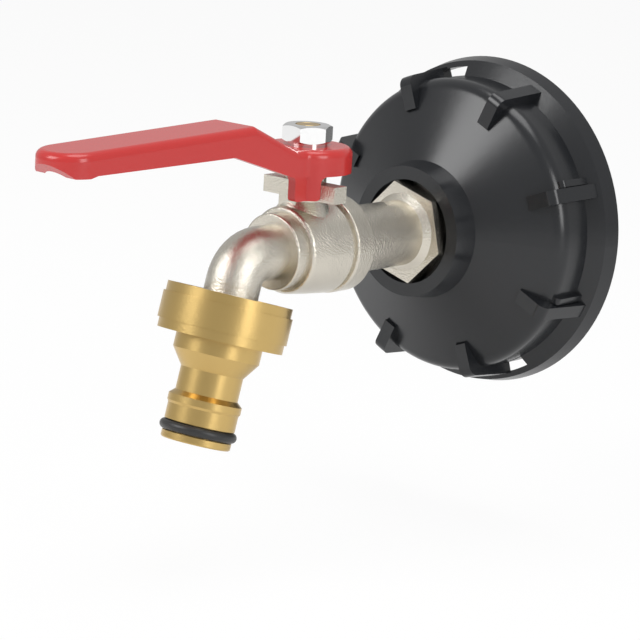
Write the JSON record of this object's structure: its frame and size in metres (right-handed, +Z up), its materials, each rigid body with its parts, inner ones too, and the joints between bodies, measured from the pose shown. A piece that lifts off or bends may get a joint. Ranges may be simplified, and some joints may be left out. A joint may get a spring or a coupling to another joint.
{
  "type": "ibc tank valve",
  "caption": "Ball valve tap on a screw cap for an IBC tank outlet, with a bent spout, a stop lever and a brass hose quick connector.",
  "frame": {"origin": "centre of the screw cap's rear mouth", "axes": "+Z up along the valve stem, +Y back towards the tank, so water leaves along -Y; lever rests open, along -Y"},
  "size_m": [0.0842, 0.1542, 0.0873],
  "materials": {
    "black_plastic": "moulded, glossy black polypropylene",
    "nickel": "nickel plate on brass, part shot-blasted and part machined",
    "brass": "machined, satin",
    "red_paint": "glossy red coating",
    "nut_chrome": "bright plate",
    "zinc_steel": "zinc plate",
    "ball_chrome": "polished",
    "seat_plastic": "white PTFE",
    "rubber": "black, smooth"
  },
  "bodies": {
    "tap": {"screw_cap": "black_plastic", "tank_gasket": "rubber", "inlet_seal": "rubber", "inlet_tailpiece": "nickel", "tailpiece_seal": "rubber", "valve_body": "nickel", "rear_seat": "seat_plastic", "front_seat": "seat_plastic", "hose_connector": "brass", "connector_washer": "rubber", "connector_o_ring": "rubber"},
    "handle": {"ball": "ball_chrome", "stem": "brass", "stem_thrust_washer": "seat_plastic", "stem_o_ring_lower": "rubber", "stem_o_ring_upper": "rubber", "lever": "red_paint", "lever_washer": "zinc_steel", "lever_nut": "nut_chrome"}
  },
  "joints": [
    {"name": "lever_turn", "type": "hinge", "parent": "tap", "child": "handle", "pos_m": [0, -0.0707, 0], "axis": [0, 0, -1], "range_deg": [0, 90]}
  ]
}
